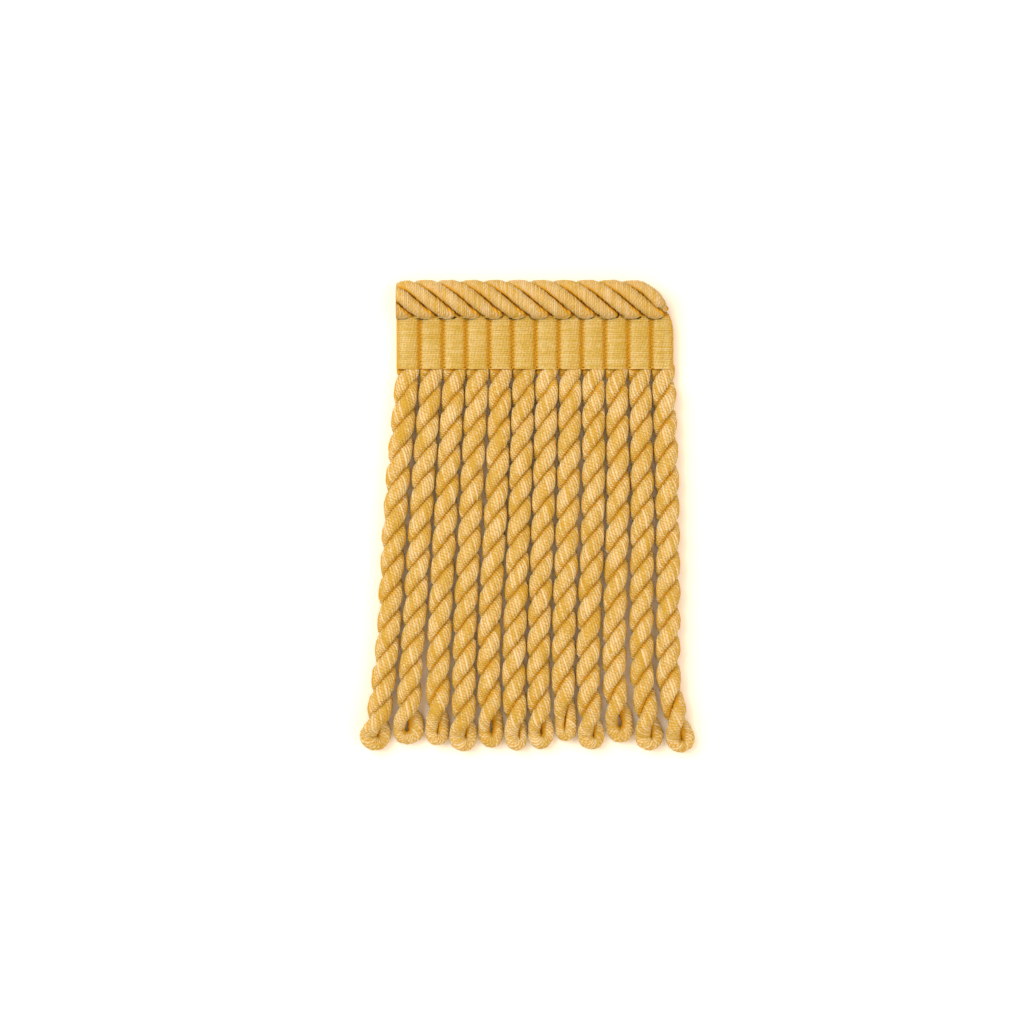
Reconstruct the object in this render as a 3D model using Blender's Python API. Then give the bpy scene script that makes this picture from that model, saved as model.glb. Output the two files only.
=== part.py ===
"""A cut length of cord fringe trim, lying face up on a flat surface.

A ribbed woven heading band carries a roll of slanted cord strands along its top edge and twelve
twisted ropes along its lower edge. Each rope is one cord doubled back at an end loop. Metres, +Z up
off the surface. The origin is on the band's flat back, and the ropes run towards -Y.
"""

from collections import namedtuple
from math import cos, pi, radians, sin, sqrt

import bmesh
import bpy
from mathutils import Vector

MM = 0.001
PART_GAP = 0.3 * MM

# Heading band: flat back on z = 0, ribs on the front.
BAND_LEFT = -37.5 * MM
BAND_RIGHT = 37.5 * MM
BAND_TOP = 5.0 * MM
BAND_BOTTOM = -10.2 * MM
BAND_CORNER = 3.5 * MM
RIB_PITCH = 6.26 * MM
FIRST_GROOVE = -31.1 * MM
RIB_COUNT = 12
GROOVE_Z = 2.4 * MM
RIB_Z = 4.0 * MM
RIB_STEPS = (0.0, 0.07, 0.25, 0.5, 0.75, 0.93)

# Strip that holds the rope roots, one part gap below the band.
STRIP_TOP = BAND_BOTTOM - PART_GAP
STRIP_BOTTOM = STRIP_TOP - 1.5 * MM

# Crest roll: strands wind over an oval core, from a foot on the band's face to the back.
CREST_Y = 7.9 * MM
CREST_Z = 2.7 * MM
CREST_HALF_Y = 6.0 * MM
CREST_HALF_Z = 5.3 * MM
CREST_LEFT = BAND_LEFT
CREST_RIGHT = 35.4 * MM
CREST_RIM = 0.2 * MM
CREST_TOE_Y = 3.6 * MM
FLAT_ANGLE = radians(0.3)
SEAT_Y = BAND_TOP + PART_GAP
SEAT_Z = RIB_Z + PART_GAP
CREST_FOOT = radians(-70)
CREST_BACK = radians(112)
CREST_ARC_STEPS = 13
STRAND_COUNT = 14
STRAND_PITCH = 6.24 * MM
STRAND_STEPS = 5
STRAND_DEPTH = 1.2 * MM
STRAND_LEAD = 43.0 * MM
STRAND_LAST_EDGE = 45.2 * MM

# Ropes: two plies a small gap apart, wound round the rope's axis.
PLY_ORBIT = 1.5 * MM
PLY_INNER = 1.45 * MM
PLY_OUTER = 1.17 * MM
PLY_INNER_HALF = 1.45 * MM
PLY_OUTER_HALF = 1.3 * MM
ROPE_RADIUS = sqrt((PLY_ORBIT + PLY_OUTER) ** 2 + PLY_OUTER_HALF**2)
ROOT_Y = STRIP_TOP - 0.6 * MM
ROOT_FLATNESS = 0.68
ROOT_LENGTH = 5.0 * MM
STEPS_PER_TURN = 7
NECK_STEPS = 5
EYE_STEPS = 6
MID_Y = -47.2 * MM
LOW_Y = -79.6 * MM
NECK_Y = -95.8 * MM

# One row for each rope, left to right, in millimetres and degrees: the axis at three heights, the
# first and last groove on the front with the half turns between them, then the eye's middle, its
# lowest edge, its width and how far it leans.
Rope = namedtuple(
    "Rope",
    "x_mid x_low x_neck y_first y_last half_turns x_eye y_tip eye_width lean",
)
ROPES = (
    Rope(-37.4, -39.3, -40.9, -16.5, -101.8, 11, -43.3, -113.1, 8.0, 18),
    Rope(-30.6, -32.7, -33.8, -17.8, -98.6, 11, -34.3, -111.8, 8.0, 6),
    Rope(-24.0, -25.7, -26.2, -18.4, -96.9, 10, -26.5, -112.2, 6.9, 16),
    Rope(-17.3, -18.9, -19.2, -17.6, -101.5, 11, -19.4, -113.6, 6.8, 18),
    Rope(-10.5, -12.3, -12.4, -18.4, -98.1, 10, -11.9, -112.9, 7.0, 6),
    Rope(-4.1, -5.4, -5.7, -17.3, -100.7, 11, -4.8, -113.3, 6.2, 20),
    Rope(2.3, 1.2, 0.9, -16.2, -100.2, 11, 1.5, -112.9, 5.8, 12),
    Rope(8.9, 7.8, 7.7, -16.7, -94.3, 10, 8.3, -111.1, 6.0, 22),
    Rope(15.8, 14.6, 14.4, -16.5, -100.7, 11, 15.2, -113.1, 7.0, 16),
    Rope(22.4, 21.5, 21.6, -17.6, -96.6, 10, 22.9, -111.4, 7.6, 6),
    Rope(29.0, 28.8, 29.2, -17.8, -100.4, 11, 31.1, -113.5, 7.5, 14),
    Rope(35.6, 35.8, 36.2, -17.3, -101.0, 11, 39.3, -114.1, 7.4, 10),
)

# Gold yarn, linear colour.
BAND_COLOUR = (0.72, 0.45, 0.12, 1.0)
CREST_COLOUR = (0.76, 0.49, 0.15, 1.0)
ROPE_COLOUR = (0.80, 0.53, 0.17, 1.0)
YARN_ROUGHNESS = 0.75
SHARP_ANGLE = radians(50)


def clear_scene():
    """Remove every object that is in the scene."""
    for thing in list(bpy.data.objects):
        bpy.data.objects.remove(thing, do_unlink=True)


def yarn_material(name, colour):
    """Matte yarn of one colour."""
    material = bpy.data.materials.new(name)
    material.use_nodes = True
    shader = material.node_tree.nodes["Principled BSDF"]
    shader.inputs["Base Color"].default_value = colour
    shader.inputs["Roughness"].default_value = YARN_ROUGHNESS
    shader.inputs["Metallic"].default_value = 0.0
    return material


def add_object(name, bm, collection, material):
    """Turn a bmesh into a named object with outward faces."""
    bmesh.ops.recalc_face_normals(bm, faces=bm.faces)
    mesh = bpy.data.meshes.new(name)
    bm.to_mesh(mesh)
    bm.free()
    mesh.materials.append(material)
    mesh.shade_smooth()
    mesh.set_sharp_from_angle(angle=SHARP_ANGLE)
    thing = bpy.data.objects.new(name, mesh)
    collection.objects.link(thing)
    return thing


def loft(bm, rings):
    """Skin a row of equal rings and close both ends with a fan."""
    rows = [[bm.verts.new(point) for point in ring] for ring in rings]
    count = len(rows[0])
    skin = []
    for here, there in zip(rows, rows[1:]):
        for k in range(count):
            n = (k + 1) % count
            skin.append(bm.faces.new((here[k], here[n], there[n], there[k])))
    for row in (rows[0], rows[-1]):
        middle = bm.verts.new(sum((v.co for v in row), Vector()) / count)
        for k in range(count):
            bm.faces.new((row[k], row[(k + 1) % count], middle))
    # Between turned rings the shorter diagonal is the one that keeps two plies apart.
    bmesh.ops.triangulate(bm, faces=skin, quad_method="SHORT_EDGE")


def rib_profile():
    """Front points (x, z) of the band from its left edge to its right edge."""
    grooves = [BAND_LEFT]
    grooves += [FIRST_GROOVE + k * RIB_PITCH for k in range(RIB_COUNT - 1)]
    grooves.append(BAND_RIGHT)
    points = []
    for left, right in zip(grooves, grooves[1:]):
        for share in RIB_STEPS:
            height = sqrt(1 - (2 * share - 1) ** 2)
            z = GROOVE_Z + (RIB_Z - GROOVE_Z) * height
            points.append((left + (right - left) * share, z))
    points.append((BAND_RIGHT, GROOVE_Z))
    return points


def corner_drop(x):
    """How far the band's top edge falls at x, where its right corner is rounded."""
    past = x - (BAND_RIGHT - BAND_CORNER)
    if past <= 0:
        return 0.0
    return BAND_CORNER - sqrt(max(BAND_CORNER**2 - past**2, 0.0))


def ribbed_bar(low_y, high_y, corner):
    """The rib profile drawn out along Y, with or without the rounded corner."""
    front = rib_profile()
    bm = bmesh.new()
    low = [bm.verts.new((x, low_y, z)) for x, z in front]
    low += [bm.verts.new((x, low_y, 0.0)) for x, z in reversed(front)]
    end = bm.faces.new(low)
    drawn = bmesh.ops.extrude_face_region(bm, geom=[end])
    for vert in drawn["geom"]:
        if isinstance(vert, bmesh.types.BMVert):
            vert.co.y = high_y - (corner_drop(vert.co.x) if corner else 0.0)
    return bm


def build_heading(collection):
    """The woven band."""
    bm = ribbed_bar(BAND_BOTTOM, BAND_TOP, corner=True)
    return add_object("heading", bm, collection, yarn_material("band_yarn", BAND_COLOUR))


def crest_ring(start_x, depth):
    """One skewed section of the crest: over the roll, then along its flat, stepped underside."""
    ring = []
    for step in range(CREST_ARC_STEPS + 1):
        angle = CREST_FOOT + (CREST_BACK - CREST_FOOT) * step / CREST_ARC_STEPS
        x = start_x - STRAND_LEAD * (angle - CREST_FOOT) / (2 * pi)
        y = CREST_Y + (CREST_HALF_Y - depth) * sin(angle)
        z = CREST_Z + (CREST_HALF_Z - depth) * cos(angle)
        underside = SEAT_Z if y < SEAT_Y else 0.0
        ring.append(Vector((x, y, max(z, underside + CREST_RIM))))
    foot, back = ring[0], ring[-1]
    ring.append(Vector((back.x, back.y, 0.0)))
    ring.append(Vector((back.x, SEAT_Y, 0.0)))
    ring.append(Vector(((foot.x + back.x) / 2, SEAT_Y, SEAT_Z)))
    ring.append(Vector((foot.x, CREST_TOE_Y, SEAT_Z)))
    return ring


def cut_square(bm, x, side):
    """Cut a closed mesh off at x and close it again."""
    cut = bmesh.ops.bisect_plane(
        bm,
        geom=bm.verts[:] + bm.edges[:] + bm.faces[:],
        dist=1e-6,
        plane_co=(x, 0, 0),
        plane_no=(side, 0, 0),
        clear_outer=True,
    )
    rim = [e for e in cut["geom_cut"] if isinstance(e, bmesh.types.BMEdge)]
    bmesh.ops.holes_fill(bm, edges=rim)


def build_crest(collection):
    """The roll of slanted strands along the band's top edge."""
    rings = []
    for step in range(STRAND_COUNT * STRAND_STEPS + 1):
        across = (step % STRAND_STEPS) / STRAND_STEPS
        depth = STRAND_DEPTH * (2 * across - 1) ** 2
        back_by = (STRAND_COUNT - step / STRAND_STEPS) * STRAND_PITCH
        rings.append(crest_ring(STRAND_LAST_EDGE - back_by, depth))
    bm = bmesh.new()
    loft(bm, rings)
    cut_square(bm, CREST_LEFT, -1)
    cut_square(bm, CREST_RIGHT, 1)
    bmesh.ops.dissolve_limit(bm, angle_limit=FLAT_ANGLE, verts=bm.verts[:], edges=bm.edges[:])
    return add_object("crest", bm, collection, yarn_material("crest_yarn", CREST_COLOUR))


def smooth(value):
    """0 to 1 with a soft start and end."""
    value = min(max(value, 0.0), 1.0)
    return value * value * (3 - 2 * value)


def curve_through(knots, y):
    """x at y on a smooth curve through (y, x) knots that run down."""
    slopes = []
    for k in range(len(knots)):
        before, after = knots[max(k - 1, 0)], knots[min(k + 1, len(knots) - 1)]
        slopes.append((after[1] - before[1]) / (after[0] - before[0]))
    for k in range(len(knots) - 1):
        (y0, x0), (y1, x1) = knots[k], knots[k + 1]
        if y >= y1 or k == len(knots) - 2:
            run = y1 - y0
            t = (y - y0) / run
            return (
                x0 * (1 + 2 * t) * (1 - t) ** 2
                + x1 * t * t * (3 - 2 * t)
                + slopes[k] * run * t * (1 - t) ** 2
                - slopes[k + 1] * run * t * t * (1 - t)
            )


def ply_ring(centre, outward, side):
    """Four corners of a ply's section, wider towards the rope's axis."""
    corners = (
        (-PLY_INNER, PLY_INNER_HALF),
        (-PLY_INNER, -PLY_INNER_HALF),
        (PLY_OUTER, -PLY_OUTER_HALF),
        (PLY_OUTER, PLY_OUTER_HALF),
    )
    return [centre + outward * a + side * b for a, b in corners]


def rope_stations(rope, y_eye, neck_turn):
    """Heights down a rope, each with the turn left before its eye and how far down the neck it is."""
    y_first, y_last = rope.y_first * MM, rope.y_last * MM
    body_turn = pi * rope.half_turns * (ROOT_Y - y_last) / (y_first - y_last)
    steps = round(body_turn / (2 * pi) * STEPS_PER_TURN)
    stations = []
    for k in range(steps):
        left = 1 - k / steps
        stations.append((y_last + (ROOT_Y - y_last) * left, neck_turn + body_turn * left, 0.0))
    for k in range(NECK_STEPS + 1):
        left = 1 - k / NECK_STEPS
        stations.append((y_eye + (y_last - y_eye) * left, neck_turn * left, 1 - left))
    return stations


def rope_rings(rope, root_x):
    """Rings of one rope's cord: down as one ply, round the eye and up as the other."""
    x_eye, y_eye = rope.x_eye * MM, rope.y_tip * MM + rope.eye_width * MM / 2
    eye_radius = rope.eye_width * MM / 2 - PLY_OUTER
    lean = radians(rope.lean)
    across = Vector((cos(lean), 0, -sin(lean)))
    up = Vector((sin(lean), 0, cos(lean)))
    down = Vector((0, -1, 0))
    knots = (
        (ROOT_Y, root_x),
        (MID_Y, rope.x_mid * MM),
        (LOW_Y, rope.x_low * MM),
        (NECK_Y, rope.x_neck * MM),
        (y_eye, x_eye),
    )
    going_down, going_up = [], []
    for y, turn, neck in rope_stations(rope, y_eye, pi - lean):
        orbit = PLY_ORBIT + (eye_radius - PLY_ORBIT) * smooth(2 * neck - 1)
        flatness = ROOT_FLATNESS + (1 - ROOT_FLATNESS) * smooth((ROOT_Y - y) / ROOT_LENGTH)
        axis = Vector((curve_through(knots, y), y, 0.0))
        # Looking down the rope the plies turn from the right over the top to the left.
        outward = up * sin(turn) - across * cos(turn)
        side = across * sin(turn) + up * cos(turn)
        pair = [ply_ring(axis + outward * (way * orbit), outward * way, side) for way in (1, -1)]
        # The rope lies on the surface, and past the crossing its opening plies do.
        lift = ROPE_RADIUS * flatness
        if neck > 0.5:
            lift = -min(corner.z for ring in pair for corner in ring)
        for ring in pair:
            for corner in ring:
                corner.z = corner.z * flatness + lift
        going_down.append(pair[0])
        going_up.append(pair[1])
    eye = []
    middle = Vector((x_eye, y_eye, lift))
    for k in range(1, EYE_STEPS):
        angle = pi * k / EYE_STEPS
        outward = down * sin(angle) - across * cos(angle)
        eye.append(ply_ring(middle + outward * eye_radius, outward, up))
    return going_down + eye + going_up[::-1]


def build_fringe(collection, guides):
    """Twelve ropes fused into the narrow strip under the band."""
    ropes = bmesh.new()
    for k, rope in enumerate(ROPES):
        loft(ropes, rope_rings(rope, FIRST_GROOVE + (k - 0.5) * RIB_PITCH))
    material = yarn_material("rope_yarn", ROPE_COLOUR)
    joined = add_object("ropes", ropes, guides, material)
    joined.hide_render = True
    joined.display_type = "WIRE"
    bar = ribbed_bar(STRIP_BOTTOM, STRIP_TOP, corner=False)
    strip = add_object("fringe", bar, collection, material)
    union = strip.modifiers.new("ropes", "BOOLEAN")
    union.operation = "UNION"
    union.solver = "EXACT"
    union.object = joined
    return strip


def main():
    clear_scene()
    trim = bpy.data.collections.new("cord_fringe_trim")
    guides = bpy.data.collections.new("guides")
    guides.hide_render = True
    for collection in (trim, guides):
        bpy.context.scene.collection.children.link(collection)
    build_heading(trim)
    build_crest(trim)
    build_fringe(trim, guides)


main()
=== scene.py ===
from collections import namedtuple
from math import ceil, cos, pi, radians, sin, sqrt

import bmesh
import bpy
import numpy as np
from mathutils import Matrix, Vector


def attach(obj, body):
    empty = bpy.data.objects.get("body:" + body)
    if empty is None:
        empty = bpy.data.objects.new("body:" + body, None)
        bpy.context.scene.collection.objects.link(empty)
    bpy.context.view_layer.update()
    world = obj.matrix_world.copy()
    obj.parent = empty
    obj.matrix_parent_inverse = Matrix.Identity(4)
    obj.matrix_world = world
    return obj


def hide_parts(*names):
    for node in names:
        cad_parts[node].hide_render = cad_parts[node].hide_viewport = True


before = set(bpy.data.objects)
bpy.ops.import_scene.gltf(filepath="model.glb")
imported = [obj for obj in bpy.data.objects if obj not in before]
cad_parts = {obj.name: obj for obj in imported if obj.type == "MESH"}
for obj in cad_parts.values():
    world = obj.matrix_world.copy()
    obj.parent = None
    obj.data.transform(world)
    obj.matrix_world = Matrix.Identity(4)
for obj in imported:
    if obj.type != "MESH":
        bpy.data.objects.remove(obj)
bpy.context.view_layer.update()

MM = 0.001
rng = np.random.default_rng(20)

# Band: ribs of weft cord wrapped by fine warp threads.
BAND_LEFT = -37.5
BAND_RIGHT = 37.5
BAND_TOP = 5.0
BAND_BOTTOM = -10.45
CORNER_WIDTH = 2.3
CORNER_HEIGHT = 6.5
RIB_PITCH = 6.26
FIRST_GROOVE = -31.1
RIB_COUNT = 12
RIB_TOP = 4.05
VALLEY = 0.58
GROOVE_Z = 2.85
WARP_PITCH = 0.50
WARP_AROUND = 8
WARP_ALONG = 17
RIB_ROUND = 2.1
WARP_ROUND = 2.15
# Share of a thread's half run at which it turns down into the valley, and how it goes on there.
WARP_TURN = 0.78
WARP_MEET = 0.12
WARP_DROP = 0.2
WARP_PAIR = 0.13
WARP_OVERLAP = 1.22
# The cloth lies inside its threads.
CLOTH_INSET = 0.35
CLOTH_LOW = 0.25
CLOTH_HIGH = 0.2
CLOTH_GROOVE = 0.55

# Cord: every rope and crest strand is the same core wound with fine threads.
THREAD_PITCH = 0.72
THREAD_ROWS = 4
AROUND = 16
THREAD_RELIEF = 0.26
# Each thread is itself twisted: the length of one twist, and twists round the cord.
BEAD = 0.8
BEADS = 12
# How square the side of a cord is that lies against its neighbour.
SQUARENESS = 0.42

# Crest: slanted strands lie side by side round a roll.
CREST_Y = 7.9
CREST_Z = 2.75
CREST_AXIS_Y = 3.95
CREST_AXIS_Z = 3.2
STRAND_RADIUS = 1.94
STRAND_PITCH = 6.24
STRAND_SLIP = 0.0861
STRAND_START = -30.18
STRAND_START_ANGLE = -53.3
STRAND_FOOT = -88.0
CREST_EDGE = 2.86
CREST_TOP = 13.72
STRAND_BACK = 122.0
STRAND_FIRST = -2
STRAND_LAST = 11
LAST_STRAND_FOOT = -62.0
CREST_LEFT = -37.5
CREST_THREAD_PITCH = 0.66
# Beyond this x the strands crowd together at the roll's right end.
CROWD_X = 31.5
CROWD_RUN = 2.1
CORE_RIGHT = 32.6
CORE_HALF_Y = 2.9
CORE_HALF_Z = 2.6

# Ropes: two plies round an axis, each as deep as PLY_RADIUS and PLY_WIDE wider than that.
PLY_ORBIT = 1.88
PLY_RADIUS = 1.50
PLY_WIDE = 0.42
EYE_DEPTH = 1.80
CROSSING = 0.4
PLY_GAP = 0.07
EYE_OVERLAP = 0.12
NEIGHBOUR_GAP = 0.03
ROOT_Y = -11.1
ROPE_TOP = -9.9
ROOT_FLATNESS = 0.55
BODY_FLATNESS = 0.90
ROOT_LENGTH = 5.0
MID_Y = -47.2
LOW_Y = -79.6
NECK_Y = -95.8
EYE_Y = -108.5

Rope = namedtuple("Rope", "x_mid x_low x_neck y_first y_last half_turns lean")
ROPES = (
    Rope(-37.55, -39.45, -41.0, -16.5, -101.8, 11, 18),
    Rope(-30.6, -32.7, -33.8, -17.8, -98.6, 11, 6),
    Rope(-24.0, -25.7, -26.2, -18.4, -96.9, 10, 16),
    Rope(-17.3, -18.9, -19.2, -17.6, -101.5, 11, 18),
    Rope(-10.5, -12.3, -12.4, -18.4, -98.1, 10, 6),
    Rope(-4.1, -5.4, -5.7, -17.3, -100.7, 11, 20),
    Rope(2.3, 1.2, 0.9, -16.2, -100.2, 11, 12),
    Rope(8.9, 7.8, 7.7, -16.7, -94.3, 10, -12),
    Rope(15.8, 14.6, 14.4, -16.5, -100.7, 11, 16),
    Rope(22.4, 21.5, 21.6, -17.6, -96.6, 10, 6),
    Rope(29.0, 28.8, 29.2, -17.8, -100.4, 11, 14),
    Rope(35.75, 35.95, 36.3, -17.3, -101.0, 11, 10),
)
# The eye that ends each rope: its sides and tip, and the middle and half sizes of its hole.
Eye = namedtuple("Eye", "left right tip x y wide high")
EYES = (
    Eye(-47.4, -38.8, -113.6, -42.9, -109.4, 0.0, 0.2),
    Eye(-38.6, -29.8, -111.9, -34.8, -107.8, 0.45, 0.7),
    Eye(-29.8, -22.7, -112.2, -26.6, -108.4, 0.0, 0.3),
    Eye(-23.5, -15.3, -113.8, -19.1, -109.4, 0.0, 0.3),
    Eye(-15.5, -8.3, -112.9, -11.8, -108.2, 0.50, 0.65),
    Eye(-8.4, -1.9, -113.7, -4.7, -109.2, 0.0, 0.3),
    Eye(-1.95, 5.4, -113.1, 1.6, -108.6, 0.30, 0.5),
    Eye(5.3, 11.7, -111.2, 8.3, -106.6, 0.0, 1.2),
    Eye(11.3, 19.0, -113.3, 15.5, -109.4, 0.0, 0.3),
    Eye(19.1, 27.1, -111.6, 23.0, -106.4, 0.60, 0.8),
    Eye(26.8, 34.9, -113.6, 31.2, -109.6, 0.0, 0.3),
    Eye(35.5, 43.4, -114.2, 39.6, -110.4, 0.20, 0.3),
)

# Colours, linear. The orange and the brown are painted shade for grooves, hollows and gaps.
CREAM = (0.69, 0.575, 0.335)
CREST_CREAM = (0.60, 0.495, 0.30)
BAND_CREAM = (0.66, 0.50, 0.235)
GOLD = (0.47, 0.31, 0.045)
ORANGE_SHADE = (0.60, 0.29, 0.012)
BROWN_SHADE = (0.24, 0.095, 0.005)

# Studio lights, in metres and watts.
Light = namedtuple("Light", "name spot size power colour")
LIGHTS = (
    Light("key", (-0.50, 0.22, 0.66), 0.7, 7.2, (1.0, 0.99, 0.98)),
    Light("fill", (0.66, -0.10, 0.70), 0.9, 3.6, (1.0, 0.99, 0.98)),
    Light("top", (0.12, -0.05, 0.95), 0.7, 2.3, (1.0, 0.64, 0.26)),
    Light("front", (0.10, -0.80, 0.50), 0.8, 1.8, (1.0, 0.99, 0.98)),
)
LIGHT_TARGET = (0.0, -0.05, 0.0)
WORLD_COLOUR = (1.0, 0.93, 0.84, 1)
WORLD_STRENGTH = 0.50
FLOOR_COLOUR = (0.97, 0.90, 0.79, 1)
FLOOR_HALF = 3
FLOOR_DROP = 0.00005

# Camera straight above, in metres: where it points, and how wide its view is there.
LENS = 85
SENSOR = 36
VIEW_CENTRE = (-0.0062, -0.0491, 0.004)
VIEW_WIDTH = 0.2765


def smooth(value):
    """Smooth step from 0 to 1."""
    value = np.clip(value, 0.0, 1.0)
    return value * value * (3 - 2 * value)


def unit(vectors):
    """The vectors at length 1."""
    return vectors / np.linalg.norm(vectors, axis=-1, keepdims=True)


def curve_through(knots, y):
    """x at each y on a smooth curve through (y, x) knots that run down."""
    slopes = []
    for k in range(len(knots)):
        before, after = knots[max(k - 1, 0)], knots[min(k + 1, len(knots) - 1)]
        slopes.append((after[1] - before[1]) / (after[0] - before[0]))
    x = np.full(y.shape, float(knots[0][1]))
    for k in range(len(knots) - 1):
        (y0, x0), (y1, x1) = knots[k], knots[k + 1]
        run = y1 - y0
        t = (y - y0) / run
        inside = (y <= y0) & (y >= y1 if k < len(knots) - 2 else True)
        piece = (
            x0 * (1 + 2 * t) * (1 - t) ** 2
            + x1 * t * t * (3 - 2 * t)
            + slopes[k] * run * t * (1 - t) ** 2
            - slopes[k + 1] * run * t * t * (1 - t)
        )
        x = np.where(inside, piece, x)
    return x


def press(x, left, right, soft=0.16):
    """x kept between two limits, with a round corner at each."""
    x = right - soft * np.logaddexp(0, (right - x) / soft)
    return left + soft * np.logaddexp(0, (x - left) / soft)


class Surface:
    """Points, faces and point values gathered into one mesh, in millimetres."""

    def __init__(self):
        self.points, self.faces, self.values = [], [], {}
        self.count = 0

    def add(self, points, faces, **values):
        """faces is a list of (corner indices, corner UVs), one entry for each number of corners."""
        for corners, uv in faces:
            if len(corners):
                self.faces.append((corners + self.count, uv))
        for name, value in values.items():
            self.values.setdefault(name, []).append(np.broadcast_to(value, len(points)))
        self.points.append(points)
        self.count += len(points)

    def build(self, name, material):
        points = np.concatenate(self.points) * MM
        used = np.zeros(len(points), dtype=bool)
        for corners, _ in self.faces:
            used[corners.ravel()] = True
        renumber = np.cumsum(used) - 1
        mesh = bpy.data.meshes.new(name)
        mesh.vertices.add(int(used.sum()))
        mesh.vertices.foreach_set("co", points[used].ravel().astype(np.float32))
        loops = np.concatenate([renumber[corners].ravel() for corners, _ in self.faces])
        sizes = np.concatenate([np.full(len(c), c.shape[1]) for c, _ in self.faces])
        mesh.loops.add(len(loops))
        mesh.loops.foreach_set("vertex_index", loops.astype(np.int32))
        mesh.polygons.add(len(sizes))
        starts = np.concatenate(([0], np.cumsum(sizes)[:-1]))
        mesh.polygons.foreach_set("loop_start", starts.astype(np.int32))
        mesh.update(calc_edges=True)
        uv = np.concatenate([uv.reshape(-1, 2) for _, uv in self.faces])
        layer = mesh.uv_layers.new(name="Yarn")
        layer.data.foreach_set("uv", uv.ravel().astype(np.float32))
        for key, parts in self.values.items():
            field = mesh.attributes.new(key, "FLOAT", "POINT")
            field.data.foreach_set("value", np.concatenate(parts)[used].astype(np.float32))
        mesh.shade_smooth()
        mesh.validate()
        mesh.materials.append(material)
        piece = bpy.data.objects.new(name, mesh)
        bpy.context.scene.collection.objects.link(piece)
        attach(piece, "root")
        return piece


class Path:
    """A centre line with the direction that is outward on it, and values, by distance along."""

    def __init__(self, points, outward, **values):
        steps = np.linalg.norm(np.diff(points, axis=0), axis=1)
        self.s = np.concatenate(([0.0], np.cumsum(steps)))
        self.points = points
        tangent = unit(np.gradient(points, self.s, axis=0))
        self.side = unit(np.cross(tangent, outward))
        self.outward = np.cross(self.side, tangent)
        self.values = values
        self.length = self.s[-1]

    def at(self, s):
        found = [
            np.stack([np.interp(s, self.s, field[:, k]) for k in range(3)], axis=-1)
            for field in (self.points, self.outward, self.side)
        ]
        return found[0], unit(found[1]), unit(found[2])

    def value(self, name, s):
        return np.interp(s, self.s, self.values[name])


def even(points, step, *fields):
    """The line and its fields again at even steps."""
    s = np.concatenate(([0.0], np.cumsum(np.linalg.norm(np.diff(points, axis=0), axis=1))))
    at = np.linspace(0, s[-1], int(ceil(s[-1] / step)) + 1)

    def again(field):
        if field.ndim == 1:
            return np.interp(at, s, field)
        return np.stack([np.interp(at, s, field[:, k]) for k in range(field.shape[1])], axis=-1)

    return [again(field) for field in (points, *fields)]


def soften(field, reach):
    """Running average along a line, with its ends held."""
    weights = np.exp(-0.5 * (np.arange(-3 * reach, 3 * reach + 1) / reach) ** 2)
    weights /= weights.sum()
    pad = 3 * reach

    def one(column):
        start = 2 * column[0] - column[pad:0:-1]
        end = 2 * column[-1] - column[-2 : -pad - 2 : -1]
        return np.convolve(np.concatenate((start, column, end)), weights, mode="valid")

    if field.ndim == 1:
        return one(field)
    return np.stack([one(field[:, k]) for k in range(field.shape[1])], axis=-1)


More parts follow.
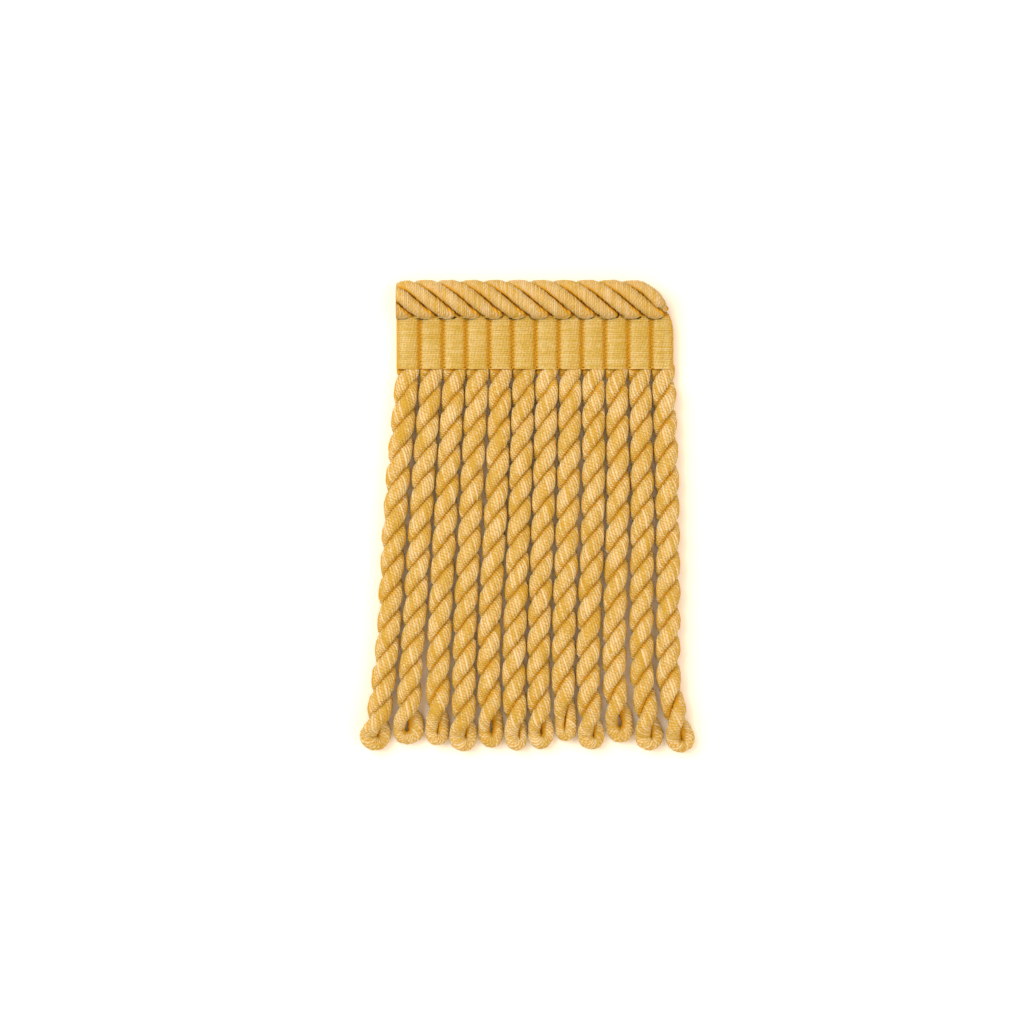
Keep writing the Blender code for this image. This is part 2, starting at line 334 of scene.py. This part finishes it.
def wound_cord(
    surface, path, radius, breadth, place, hollow, room=None, fill=None, turn=-1, slant=1, pitch=THREAD_PITCH
):
    """A cord along path, wound with fine threads that stand out as ridges.

    radius is its size outward and breadth sideways. place fits its points to what lies round it, and
    the shade function after it gives the painted shade at each point. room is how far its inner side
    reaches, fill how square that side is, and slant how many thread rows it climbs from one column to the
    next.
    """
    step = pitch / THREAD_ROWS
    lead = slant * AROUND
    starts = lead // THREAD_ROWS
    rows = int(ceil(path.length / step)) + 2 * lead
    i = np.arange(rows)[:, None]
    j = np.arange(AROUND)[None, :]
    tones = rng.normal(0, 1, rows // THREAD_ROWS + starts + 2)
    heights = rng.normal(0, 0.36, len(tones))
    bends = rng.normal(0, 0.3, rows // 9 + 3)
    wander = np.interp(np.arange(rows) / 9.0, np.arange(len(bends)), bends)
    raw = step * (i - lead + slant * j + wander[i])
    s = np.clip(raw, 0, path.length)
    angle = turn * 2 * pi * j / AROUND
    around = np.broadcast_to(j / AROUND, s.shape)
    thread = i // THREAD_ROWS + 0 * j
    tone = tones[thread] * (1 - around) + tones[thread + starts] * around
    height = 1 + heights[thread] * (1 - around) + heights[thread + starts] * around
    phase = (i % THREAD_ROWS) / THREAD_ROWS + 0 * j
    ridge = np.sin(pi * phase) ** 0.8
    centre, outward, side = path.at(s)
    base, broad = radius(s), breadth(s)
    cosine, sine = np.cos(angle) + 0 * s, np.sin(angle) + 0 * s
    hidden = smooth((-cosine - 0.45) / 0.5) if room is not None else 0 * s
    stand = ridge * np.clip(height, 0.4, 1.5)
    relief = 1 - THREAD_RELIEF * (1 - stand) * (1 - 0.8 * hidden) / base
    a = base * cosine
    b = broad * sine
    if room is not None:
        power = 1 - SQUARENESS * fill(s)
        a = np.where(cosine < 0, -room(s) * np.abs(cosine) ** power, a)
        b = np.where(cosine < 0, broad * np.sign(sine) * np.abs(sine) ** power, b)
    a, b = a * relief, b * relief
    points = place(centre + a[..., None] * outward + b[..., None] * side, s)
    # Painted shade at each point, from the shade function.
    shade_mask = hollow(s, cosine, points)
    low = np.sum(raw <= 0, axis=0) - 1
    high = rows - np.sum(raw >= path.length, axis=0)
    row = np.clip(i + 0 * j, low, high)
    strip = np.arange(rows - 1 - lead)[:, None]

    def corner(di, dj):
        column = np.arange(AROUND) + dj
        wrapped = column % AROUND
        shift = np.where(column == AROUND, lead, 0)
        index = row[strip + di + shift, wrapped] * AROUND + wrapped
        along = BEADS * BEAD * (column + 0 * index) / AROUND
        across = (strip + di + 0 * column) / THREAD_ROWS * THREAD_PITCH
        uv = np.stack((along, across), axis=-1)
        return index.ravel(), uv.reshape(-1, 2) * MM

    corners = [corner(0, 0), corner(1, 0), corner(1, 1), corner(0, 1)]
    if turn > 0:
        corners = [corners[k] for k in (0, 3, 2, 1)]
    index = np.stack([c[0] for c in corners], axis=1)
    uv = np.stack([c[1] for c in corners], axis=1)
    same = index == np.roll(index, -1, axis=1)
    repeats = same.sum(axis=1)
    quads = (index[repeats == 0], uv[repeats == 0])
    faces = [quads]
    for k in range(4):
        keep = [c for c in range(4) if c != k]
        one = (repeats == 1) & same[:, k]
        faces.append((index[one][:, keep], uv[one][:, keep]))
    for end, edge in ((0, low), (1, high)):
        ring = edge * AROUND + np.arange(AROUND)
        if (turn > 0) == (end == 0):
            ring = ring[::-1]
        faces.append((ring[None, :].copy(), np.zeros((1, AROUND, 2))))
    # Painted shade: orange in the grooves between the wound threads.
    groove = (1 - ridge).ravel()
    surface.add(points.reshape(-1, 3), faces, hollow=shade_mask.ravel(), groove=groove, tone=tone.ravel())


def rope_path(rope, eye, root_x):
    """One cord's centre line: down as one ply, round the eye and up as the other."""
    lean = radians(rope.lean)
    knots = (
        (ROOT_Y, root_x),
        (MID_Y, rope.x_mid),
        (LOW_Y, rope.x_low),
        (NECK_Y, rope.x_neck),
        (eye.y, eye.x),
    )
    body_turn = pi * rope.half_turns * (ROOT_Y - rope.y_last) / (rope.y_first - rope.y_last)
    body = np.linspace((ROPE_TOP - rope.y_last) / (ROOT_Y - rope.y_last), 0, 300)[:-1]
    neck = np.linspace(0, 1, 60)
    y_body = rope.y_last + (ROOT_Y - rope.y_last) * body
    y = np.concatenate((y_body, rope.y_last + (eye.y - rope.y_last) * neck))
    # The plies cross over once more, early in the neck, and then part round the eye.
    after = np.clip((neck - CROSSING) / (1 - CROSSING), 0, 1)
    ease = (1 - CROSSING) / CROSSING
    part = 0.5 * np.minimum(neck / CROSSING, 1) + 0.5 * (ease * after + (1 - ease) * after**2)
    turn = np.concatenate((pi + body_turn * body, pi - (pi - lean) * part))
    opened = np.concatenate((0 * body, smooth((neck - 0.3) / 0.45)))
    past = np.concatenate((0 * body, neck)) > CROSSING

    semi_left, semi_right = (eye.x - eye.left + eye.wide) / 2, (eye.right - eye.x + eye.wide) / 2
    semi_down = (eye.y - eye.tip + eye.high) / 2
    angle = np.linspace(0, pi, 42)[1:-1]
    semi = np.where(angle < pi / 2, semi_left, semi_right)
    across = np.array((cos(lean), 0, -sin(lean)))
    down = np.array((0.0, -1.0, 0.0))
    swing, fall = -np.cos(angle)[:, None], np.sin(angle)[:, None]
    eye_line = np.array((eye.x, eye.y, 0.0)) + swing * semi[:, None] * across + fall * semi_down * down
    eye_out = unit(swing * semi_down * across + fall * semi[:, None] * down)
    eye_thick = (semi - eye.wide) * np.cos(angle) ** 2 + (semi_down - eye.high) * np.sin(angle) ** 2
    eye_thick = EYE_OVERLAP + eye_thick

    x = curve_through(knots, y)
    outward = np.stack((-np.cos(turn), 0 * turn, np.sin(turn)), axis=-1)
    axis = np.stack((x, y, 0 * y), axis=-1)
    flat = ROOT_FLATNESS + (BODY_FLATNESS - ROOT_FLATNESS) * smooth((ROOT_Y - y) / ROOT_LENGTH)
    flat = flat + (1 - flat) * opened
    depth = PLY_RADIUS * (1 + PLY_WIDE) * (1 - opened) + EYE_DEPTH * opened

    def ply(semi_eye):
        orbit = PLY_ORBIT + (semi_eye - PLY_ORBIT) * opened
        thick = PLY_RADIUS + (semi_eye - eye.wide + EYE_OVERLAP - PLY_RADIUS) * opened
        high = orbit * np.abs(np.sin(turn)) + np.hypot(thick * np.sin(turn), depth * np.cos(turn))
        lift = np.where(past, high, (PLY_ORBIT + PLY_RADIUS) * flat)
        reach = (orbit - PLY_GAP) * (1 - opened) + np.minimum(thick, orbit - PLY_GAP) * opened
        return orbit, np.stack((thick, depth, reach, lift, flat, x, opened), axis=-1)

    orbit_down, values_down = ply(semi_left)
    orbit_up, values_up = ply(semi_right)
    ones = np.ones(len(angle))
    eye_lift = np.interp(angle, (0, pi), (values_down[-1, 3], values_up[-1, 3]))
    eye_reach = np.minimum(eye_thick, semi - PLY_GAP)
    values_eye = np.stack(
        (eye_thick, ones * EYE_DEPTH, eye_reach, eye_lift, ones, ones * eye.x, ones), axis=-1
    )
    line = np.concatenate(
        (axis + outward * orbit_down[:, None], eye_line, (axis - outward * orbit_up[:, None])[::-1])
    )
    out = np.concatenate((outward, eye_out, -outward[::-1]))
    values = np.concatenate((values_down, values_eye, values_up[::-1]))
    line, out, values = even(line, 0.1, out, values)
    values[:, 3] = soften(values[:, 3], 5)
    names = ("thick", "depth", "room", "lift", "flat", "axis", "opened")
    return Path(soften(line, 4), unit(out), **dict(zip(names, values.T)))


def boundary(k):
    """Knots of the line along which rope k presses on the next one."""
    if not 0 <= k < len(ROPES) - 1:
        x = -90.0 if k < 0 else 90.0
        return ((ROPE_TOP, x), (EYE_Y, x))
    a, b = ROPES[k], ROPES[k + 1]
    touch = (EYES[k].right + EYES[k + 1].left) / 2
    return (
        (ROPE_TOP, FIRST_GROOVE + k * RIB_PITCH),
        (MID_Y, (a.x_mid + b.x_mid) / 2),
        (LOW_Y, (a.x_low + b.x_low) / 2),
        (NECK_Y, (a.x_neck + b.x_neck) / 2),
        (EYE_Y, touch),
        (EYE_Y - 7, touch),
    )


def build_ropes(material):
    """The twelve ropes, each a piece of its own."""
    pieces = []
    for k, (rope, eye) in enumerate(zip(ROPES, EYES)):
        path = rope_path(rope, eye, FIRST_GROOVE + (k - 0.5) * RIB_PITCH)
        knots = np.arange(0, path.length + 12, 6.0)
        swell = rng.normal(0, 0.014, len(knots))
        before, after = boundary(k - 1), boundary(k)

        def radius(s):
            return path.value("thick", s) * (1 + np.interp(s, knots, swell))

        def breadth(s):
            return path.value("depth", s) * (1 + np.interp(s, knots, swell))

        def room(s):
            return path.value("room", s)

        def fill(s):
            return 1 - path.value("opened", s) * (-0.1 if eye.wide == 0 else 1)

        def place(points, s):
            x, y = points[..., 0], points[..., 1]
            z = np.maximum(points[..., 2] * path.value("flat", s) + path.value("lift", s), 0.0)
            left = curve_through(before, y) + NEIGHBOUR_GAP
            right = curve_through(after, y) - NEIGHBOUR_GAP
            return np.stack((press(x, left, right), y, z), axis=-1)

        # Painted shade: orange on each ply's inner side, on the flanks that press on the next rope, low down
        # near the floor between ropes, and inside the eye.
        def hollow(s, cosine, points):
            opened = path.value("opened", s)
            beside = np.abs(points[..., 0] - path.value("axis", s)) / (PLY_ORBIT + PLY_RADIUS)
            ply = 0.10 * smooth((0.70 - cosine) / 0.5) + 0.55 * smooth((-0.05 - cosine) / 0.5)
            ring = 0.55 * smooth((-0.35 - cosine) / 0.5)
            flank = 0.42 * smooth((beside - 0.78) / 0.2)
            low = 0.66 * smooth((3.0 - points[..., 2]) / 1.6)
            return np.maximum(ply, np.maximum(flank, low)) * (1 - opened) + ring * opened

        surface = Surface()
        wound_cord(surface, path, radius, breadth, place, hollow, room, fill, slant=2)
        pieces.append(surface.build(f"rope_{k + 1:02d}", material))
    return pieces


def strand_path(k):
    """Centre line of a crest strand from its foot on the band, over the roll and down behind it."""
    last = k == STRAND_LAST
    angle = np.linspace(LAST_STRAND_FOOT if last else STRAND_FOOT, STRAND_BACK, 220 if last else 240)
    slip = np.where(angle < -40, -40 + 14 * np.tanh((angle + 40) / 14), angle)
    x = STRAND_START + STRAND_PITCH * k - STRAND_SLIP * (slip - STRAND_START_ANGLE)
    shrink = np.ones(angle.shape)
    if last:
        x = x - 0.8 * smooth((60 - angle) / 70)
        shrink = 1 - 0.42 * smooth((12 - angle) / 40)
    x = np.where(x > CROWD_X, CROWD_X + CROWD_RUN * np.tanh((x - CROWD_X) / CROWD_RUN), x)
    shrink = shrink * (1 - 0.26 * smooth((-33.6 - x) / 4.2) * smooth((angle - 5) / 50))
    turn = np.radians(angle)
    out = np.stack((0 * turn, np.sin(turn), np.cos(turn)), axis=-1)
    y = CREST_Y + CREST_AXIS_Y * shrink * np.sin(turn)
    z = CREST_Z + CREST_AXIS_Z * shrink * np.cos(turn)
    line, out, angle = even(np.stack((x, y, z), axis=-1), 0.1, out, angle)
    return Path(line, unit(out), angle=angle)


def build_crest(material):
    """The roll of strands, cut off flat at the left, and the core under them."""
    surface = Surface()
    for k in range(STRAND_FIRST, STRAND_LAST + 1):
        path = strand_path(k)
        size = STRAND_RADIUS * (1 + rng.normal(0, 0.01)) - (0.12 if k == STRAND_LAST else 0)

        def radius(s):
            angle = path.value("angle", s)
            foot = smooth((-38 - angle) / 40)
            back = smooth((angle - 95) / 40)
            over = smooth((angle - 45) / 30)
            return size * (1 - 0.36 * foot + 0.10 * over - 0.32 * back)

        def breadth(s):
            return radius(s) * (1 + 1.15 * smooth((-40 - path.value("angle", s)) / 30))

        def place(points, s):
            points = points.copy()
            points[..., 1] = press(points[..., 1], CREST_EDGE, CREST_TOP)
            floor = np.where(points[..., 1] < BAND_TOP + 0.25, RIB_TOP + 0.02, 0.0)
            points[..., 2] = np.maximum(points[..., 2], floor)
            return points

        # Painted shade: a little just off each strand's crown, orange in the grooves between strands and
        # brown in the pits at their feet.
        def hollow(s, cosine, points):
            angle = path.value("angle", s)
            pit = smooth((-30 - angle) / 18) * smooth((angle + 78) / 12)
            groove = smooth((0.28 + 0.30 * pit - cosine) / 0.32) * (0.92 + 0.18 * pit)
            return 0.08 * smooth((0.7 - cosine) / 0.5) + groove

        wound_cord(
            surface, path, radius, breadth, place, hollow, turn=1, slant=3, pitch=CREST_THREAD_PITCH
        )
    piece = surface.build("crest_cord", material)
    bm = bmesh.new()
    bm.from_mesh(piece.data)
    cut = bmesh.ops.bisect_plane(
        bm,
        geom=bm.verts[:] + bm.edges[:] + bm.faces[:],
        plane_co=(CREST_LEFT * MM, 0, 0),
        plane_no=(-1, 0, 0),
        clear_outer=True,
    )
    edges = [e for e in cut["geom_cut"] if isinstance(e, bmesh.types.BMEdge)]
    bmesh.ops.edgeloop_fill(bm, edges=edges)
    bm.to_mesh(piece.data)
    bm.free()

    core = Surface()
    turn = np.linspace(0, 2 * pi, 33)[:-1]
    stops = np.linspace(CREST_LEFT + 0.02, CORE_RIGHT, 60)
    ring = np.stack((CREST_Y + CORE_HALF_Y * np.sin(turn), CREST_Z + CORE_HALF_Z * np.cos(turn)), axis=-1)
    # Painted shade: the core shows only in the cracks between strands, so it is painted orange to brown.
    tube_between(core, [(x, ring) for x in stops], hollow=0.85)
    inside = core.build("crest_core", material)
    return [piece, inside]


def tube_index(rings, around):
    """Corner indices of the quads and of the two end caps of a tube."""
    i = np.arange(rings - 1)[:, None] * around
    j = np.arange(around)[None, :]
    after = (j + 1) % around
    quads = np.stack((i + j, i + after, i + around + after, i + around + j), axis=-1).reshape(-1, 4)
    caps = np.stack((np.arange(around)[::-1], np.arange(around) + (rings - 1) * around))
    return quads, caps


def tube_between(surface, rings, hollow):
    """A closed skin through (x, ring) sections that run along x, each ring in y and z."""
    n = len(rings[0][1])
    points = np.concatenate([np.column_stack((np.full(n, x), ring)) for x, ring in rings])
    quads, caps = tube_index(len(rings), n)
    across = np.broadcast_to(np.arange(4) % 2 * 0.001, quads.shape)
    uv = np.stack((points[quads][..., 0] * MM, across), axis=-1)
    surface.add(points, [(quads, uv), (caps, np.zeros((2, n, 2)))], hollow=hollow, groove=0.0, tone=0.0)


def rib_height(x, low, high):
    """Height of the band's ribs at x."""
    k = np.clip(np.floor((x - FIRST_GROOVE) / RIB_PITCH) + 1, 0, RIB_COUNT - 1)
    left = np.where(k == 0, BAND_LEFT, FIRST_GROOVE + (k - 1) * RIB_PITCH)
    right = np.where(k == RIB_COUNT - 1, BAND_RIGHT, FIRST_GROOVE + k * RIB_PITCH)
    u = np.clip(np.abs(2 * (x - left) / (right - left) - 1), 0, 1)
    return low + (high - low) * (1 - u**RIB_ROUND) ** (1 / RIB_ROUND)


def edge_inset(y):
    """How far the band's right edge draws in at y, round its upper corner."""
    over = np.clip((y - BAND_TOP) / CORNER_HEIGHT + 1, 0, 1)
    return CORNER_WIDTH * (1 - np.sqrt(1 - over**2))


def build_cloth(material):
    """The band's cloth, a closed skin that follows the ribs under their threads."""
    core = Surface()
    left, right = BAND_LEFT + CLOTH_INSET, BAND_RIGHT - CLOTH_INSET
    grooves = FIRST_GROOVE + RIB_PITCH * np.arange(RIB_COUNT - 1)
    rings = []
    for x in np.unique(np.concatenate((np.linspace(left, right, 240), grooves))):
        top = float(rib_height(x, GROOVE_Z - CLOTH_GROOVE, RIB_TOP - CLOTH_INSET))
        inset = min((right - x) / CORNER_WIDTH, 1)
        drop = CORNER_HEIGHT * (1 - sqrt(1 - (1 - inset) ** 2))
        low_y, high_y = BAND_BOTTOM + CLOTH_LOW, BAND_TOP - CLOTH_HIGH - drop
        low_top, high_top = low_y + CLOTH_INSET, high_y - CLOTH_INSET
        ring = [(low_y, 0.0), (low_y, top * 0.5)]
        ring += [(low_top + (high_top - low_top) * t, top) for t in (0, 0.2, 0.4, 0.6, 0.8, 1)]
        ring += [(high_y, top * 0.5), (high_y, 0.0)]
        ring += [(low_y + (high_y - low_y) * t, 0.0) for t in (0.75, 0.5, 0.25)]
        rings.append((x, np.array(ring)[::-1]))
    # Painted shade: the cloth shows only between the threads, so it is painted orange.
    tube_between(core, rings, hollow=0.5)
    return core.build("band_cloth", material)


def warp_thread(surface, k, n, y, pitch):
    """Thread n of rib k, over the rib and down its sides into the valleys, or to an edge's back."""
    first, last = k == 0, k == RIB_COUNT - 1
    left = BAND_LEFT if first else FIRST_GROOVE + (k - 1) * RIB_PITCH
    right = BAND_RIGHT - float(edge_inset(y)) if last else FIRST_GROOVE + k * RIB_PITCH
    middle, half = (left + right) / 2, (right - left) / 2
    t = np.linspace(-1, 1, WARP_ALONG)
    edge = ((t < 0) & first) | ((t > 0) & last)
    arc = np.clip(pi / 2 * t / WARP_TURN, -pi / 2, pi / 2)
    past = np.clip((np.abs(t) - WARP_TURN) / (1 - WARP_TURN), 0, 1)
    sx = np.sign(arc) * np.abs(np.sin(arc)) ** (2 / WARP_ROUND)
    cz = np.abs(np.cos(arc)) ** (2 / WARP_ROUND)
    size = 0.5 * pitch * WARP_OVERLAP * (1 + rng.normal(0, 0.03))
    valley = np.where(edge, size, VALLEY)
    x = middle + (half - valley) * sx + np.sign(t) * past * np.where(edge, 0.0, VALLEY + WARP_MEET)
    high = RIB_TOP - size + rng.normal(0, 0.015)
    z = GROOVE_Z + (high - GROOVE_Z) * cz - past * np.where(edge, GROOVE_Z - size - 0.02, WARP_DROP)
    # Threads close up in pairs as they go down, and the next rib's pairs fill the spaces.
    pair = WARP_PAIR if (n + k) % 2 else -WARP_PAIR
    close = np.where(edge, 0.0, smooth((np.abs(t) - 0.45) / 0.3))
    line = np.stack((x, y + pair * close, z), axis=-1)
    normal = unit(np.cross(unit(np.gradient(line, axis=0)), np.array((0.0, -1.0, 0.0))))
    taper = np.where(edge, 1.0, 1 - 0.55 * smooth((np.abs(t) - 0.72) / 0.28))
    ring = 2 * pi * np.arange(WARP_AROUND) / WARP_AROUND
    points = line[:, None, :] + size * np.cos(ring)[None, :, None] * normal[:, None, :]
    points[..., 1] += size * np.sin(ring)[None, :] * taper[:, None]

    quads, caps = tube_index(WARP_ALONG, WARP_AROUND)
    steps = np.linalg.norm(np.diff(line, axis=0), axis=1)
    u = np.repeat(np.concatenate(([0.0], np.cumsum(steps))), WARP_AROUND)[quads] + 3.1 * n
    v = (quads[:, :1] % WARP_AROUND + np.array((0, 1, 1, 0))) * (THREAD_PITCH / WARP_AROUND)
    faces = [(quads, np.stack((u, v), axis=-1) * MM), (caps, np.zeros((2, WARP_AROUND, 2)))]
    # Painted shade: a rib's right side, turned from the light, is orange further up than its left side, the
    # band's outer edges are orange where the threads turn down, and what the crest covers is orange to
    # brown.
    shade_mask = 0.48 * np.where(sx > 0, smooth((sx - 0.62) / 0.36), smooth((-sx - 0.88) / 0.11))
    shade_mask = np.maximum(shade_mask, 0.2 * smooth((sx + 0.5) / 0.35))
    shade_mask = np.where(edge, 0.34 * smooth((np.abs(sx) - 0.5) / 0.35), shade_mask)
    hollow = np.repeat(np.maximum(shade_mask, 0.95 * smooth((y - 3.2) / 1.2)), WARP_AROUND)
    # Painted shade: orange on each thread's sides where it meets its neighbours.
    groove = np.broadcast_to(np.abs(np.sin(ring)) ** 2, (WARP_ALONG, WARP_AROUND)).ravel()
    surface.add(points.reshape(-1, 3), faces, hollow=hollow, groove=groove, tone=rng.normal(0, 0.6))


def build_band(material):
    """The band's cloth and the warp threads that wrap its ribs."""
    cloth = build_cloth(material)
    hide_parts("heading")
    surface = Surface()
    rows = int((BAND_TOP - BAND_BOTTOM) / WARP_PITCH)
    pitch = (BAND_TOP - BAND_BOTTOM) / rows
    for k in range(RIB_COUNT):
        for n in range(rows):
            y = BAND_BOTTOM + pitch * (n + 0.5) + rng.normal(0, 0.015)
            warp_thread(surface, k, n, y, pitch)
    threads = surface.build("band_threads", material)
    return cloth, threads


class Nodes:
    """Short calls for a material's nodes."""

    def __init__(self, name):
        self.material = bpy.data.materials.new(name)
        self.material.use_nodes = True
        self.tree = self.material.node_tree
        self.tree.nodes.clear()

    def add(self, kind, inputs=(), **settings):
        node = self.tree.nodes.new(kind)
        for key, value in settings.items():
            setattr(node, key, value)
        for key, value in dict(inputs).items():
            socket = node.inputs[key]
            if isinstance(value, bpy.types.NodeSocket):
                self.tree.links.new(value, socket)
            else:
                socket.default_value = value
        return node

    def math(self, operation, a, b=0.0):
        return self.add("ShaderNodeMath", {0: a, 1: b}, operation=operation).outputs[0]

    def total(self, *terms):
        """The sum of (value, weight) pairs."""
        result = 0.0
        for value, weight in terms:
            inputs = {0: value, 1: weight, 2: result}
            result = self.add("ShaderNodeMath", inputs, operation="MULTIPLY_ADD").outputs[0]
        return result

    def ramp(self, value, low, high):
        return self.add(
            "ShaderNodeMapRange",
            {"Value": value, "From Min": low, "From Max": high, "To Min": 0.0, "To Max": 1.0},
            interpolation_type="SMOOTHSTEP",
        ).outputs["Result"]

    def mix(self, factor, a, b):
        node = self.add("ShaderNodeMix", data_type="RGBA")
        for socket, value in ((node.inputs[0], factor), (node.inputs[6], a), (node.inputs[7], b)):
            if isinstance(value, bpy.types.NodeSocket):
                self.tree.links.new(value, socket)
            else:
                socket.default_value = (*value, 1.0)
        return node.outputs[2]


def yarn_material(name, groove_shade_weight, grain, cream=CREAM):
    """Spun yarn, gold to cream by its grain, with painted shade: orange where threads meet and in hollows,
    brown in the deepest.
    """
    n = Nodes(name)
    hollow = n.add("ShaderNodeAttribute", attribute_name="hollow").outputs["Fac"]
    groove = n.add("ShaderNodeAttribute", attribute_name="groove").outputs["Fac"]
    tone = n.add("ShaderNodeAttribute", attribute_name="tone").outputs["Fac"]
    place = n.add("ShaderNodeTexCoord").outputs["Object"]
    yarn_uv = n.add("ShaderNodeUVMap", uv_map="Yarn").outputs["UV"]
    fine = {"Vector": place, "Scale": 1700.0, "Detail": 3.0, "Roughness": 0.6}
    fleck = n.add("ShaderNodeTexNoise", fine).outputs[0]
    patch = n.add("ShaderNodeTexNoise", {"Vector": place, "Scale": 160.0, "Detail": 2.0}).outputs[0]
    lines = n.add("ShaderNodeMapping", {"Vector": yarn_uv, "Scale": (900.0, 9000.0, 1.0)}).outputs[0]
    fibre = n.add("ShaderNodeTexNoise", {"Vector": lines, "Scale": 1.0, "Detail": 2.0}).outputs[0]
    apart = n.add("ShaderNodeSeparateXYZ", {"Vector": yarn_uv}).outputs
    phase = n.total((apart[0], 2 * pi / (BEAD * MM)), (apart[1], 2 * pi / (THREAD_PITCH * MM)), (patch, 9.0))
    twist = n.add("ShaderNodeMath", {0: n.math("SINE", phase), 1: 0.5, 2: 0.5}, operation="MULTIPLY_ADD")
    twist = twist.outputs[0]
    # Grain mixes gold and cream; painted shade pulls it towards gold away from the crowns.
    grain_and_shade = n.total((tone, 0.12), (fleck, 1.15), (twist, 0.22), (patch, 0.5), (fibre, 0.5), (hollow, -0.7))
    pale = n.ramp(grain_and_shade, 1.19 - 0.36 / grain, 1.19 + 0.36 / grain)
    colour = n.mix(pale, GOLD, cream)
    # Painted shade: orange between threads, then orange and brown in the hollows.
    colour = n.mix(n.math("MULTIPLY", groove, groove_shade_weight), colour, ORANGE_SHADE)
    colour = n.mix(n.ramp(hollow, 0.12, 0.62), colour, ORANGE_SHADE)
    colour = n.mix(n.ramp(hollow, 0.70, 1.10), colour, BROWN_SHADE)
    glossy = {"Value": fleck, "From Min": 0.3, "From Max": 0.7, "To Min": 0.58, "To Max": 0.82}
    rough = n.add("ShaderNodeMapRange", glossy).outputs["Result"]
    height = n.total((fibre, 0.5), (fleck, 0.6), (twist, 0.8))
    raised = {"Height": height, "Strength": 0.8 * grain, "Distance": 0.00014}
    bump = n.add("ShaderNodeBump", raised).outputs[0]
    shader = n.add(
        "ShaderNodeBsdfPrincipled",
        {
            "Base Color": colour,
            "Roughness": rough,
            "Normal": bump,
            "Specular IOR Level": 0.16,
            "Subsurface Weight": 0.3,
            "Subsurface Radius": (1.0, 0.55, 0.15),
            "Subsurface Scale": 0.0011,
            "Sheen Weight": 0.06,
            "Sheen Roughness": 0.35,
            "Sheen Tint": (1.0, 0.8, 0.45, 1.0),
        },
    )
    n.add("ShaderNodeOutputMaterial", {"Surface": shader.outputs[0]})
    return n.material


def build_floor():
    """A plain pale floor."""
    pale = Nodes("pale_floor")
    finish = {"Base Color": FLOOR_COLOUR, "Roughness": 0.9, "Specular IOR Level": 0.1}
    shader = pale.add("ShaderNodeBsdfPrincipled", finish)
    pale.add("ShaderNodeOutputMaterial", {"Surface": shader.outputs[0]})
    mesh = bpy.data.meshes.new("floor")
    corners = [(x * FLOOR_HALF, y * FLOOR_HALF, 0) for x, y in ((-1, -1), (1, -1), (1, 1), (-1, 1))]
    mesh.from_pydata(corners, [], [(0, 1, 2, 3)])
    mesh.materials.append(pale.material)
    floor = bpy.data.objects.new("floor", mesh)
    floor.location.z = -FLOOR_DROP
    bpy.context.scene.collection.objects.link(floor)


def build_lights():
    """Soft lights round the trim, and an even sky."""
    world = bpy.data.worlds.new("studio")
    world.use_nodes = True
    back = world.node_tree.nodes["Background"]
    back.inputs["Color"].default_value = WORLD_COLOUR
    back.inputs["Strength"].default_value = WORLD_STRENGTH
    bpy.context.scene.world = world
    for light in LIGHTS:
        lamp = bpy.data.lights.new(light.name, "AREA")
        lamp.shape = "SQUARE"
        lamp.size = light.size
        lamp.energy = light.power
        lamp.color = light.colour
        holder = bpy.data.objects.new(light.name, lamp)
        holder.location = light.spot
        towards = Vector(LIGHT_TARGET) - Vector(light.spot)
        holder.rotation_euler = towards.to_track_quat("-Z", "Y").to_euler()
        bpy.context.scene.collection.objects.link(holder)


def build_camera():
    """The camera, straight above the trim."""
    camera = bpy.data.cameras.new("camera")
    camera.lens = LENS
    camera.sensor_width = SENSOR
    camera.clip_start = 0.01
    camera.clip_end = 20
    holder = bpy.data.objects.new("camera", camera)
    holder.location = Vector(VIEW_CENTRE) + Vector((0, 0, VIEW_WIDTH * LENS / SENSOR))
    bpy.context.scene.collection.objects.link(holder)
    bpy.context.scene.camera = holder
    bpy.context.scene.view_settings.view_transform = "Standard"


rope_yarn = yarn_material("rope_yarn_wound", groove_shade_weight=0.9, grain=1.3)
crest_yarn = yarn_material("crest_yarn_wound", groove_shade_weight=0.8, grain=0.85, cream=CREST_CREAM)
band_yarn = yarn_material("band_yarn_woven", groove_shade_weight=0.26, grain=0.75, cream=BAND_CREAM)

ropes = build_ropes(rope_yarn)
for piece in ropes:
    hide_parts("fringe")
crest = build_crest(crest_yarn)
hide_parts("crest")
cloth, threads = build_band(band_yarn)
build_floor()
build_lights()
build_camera()
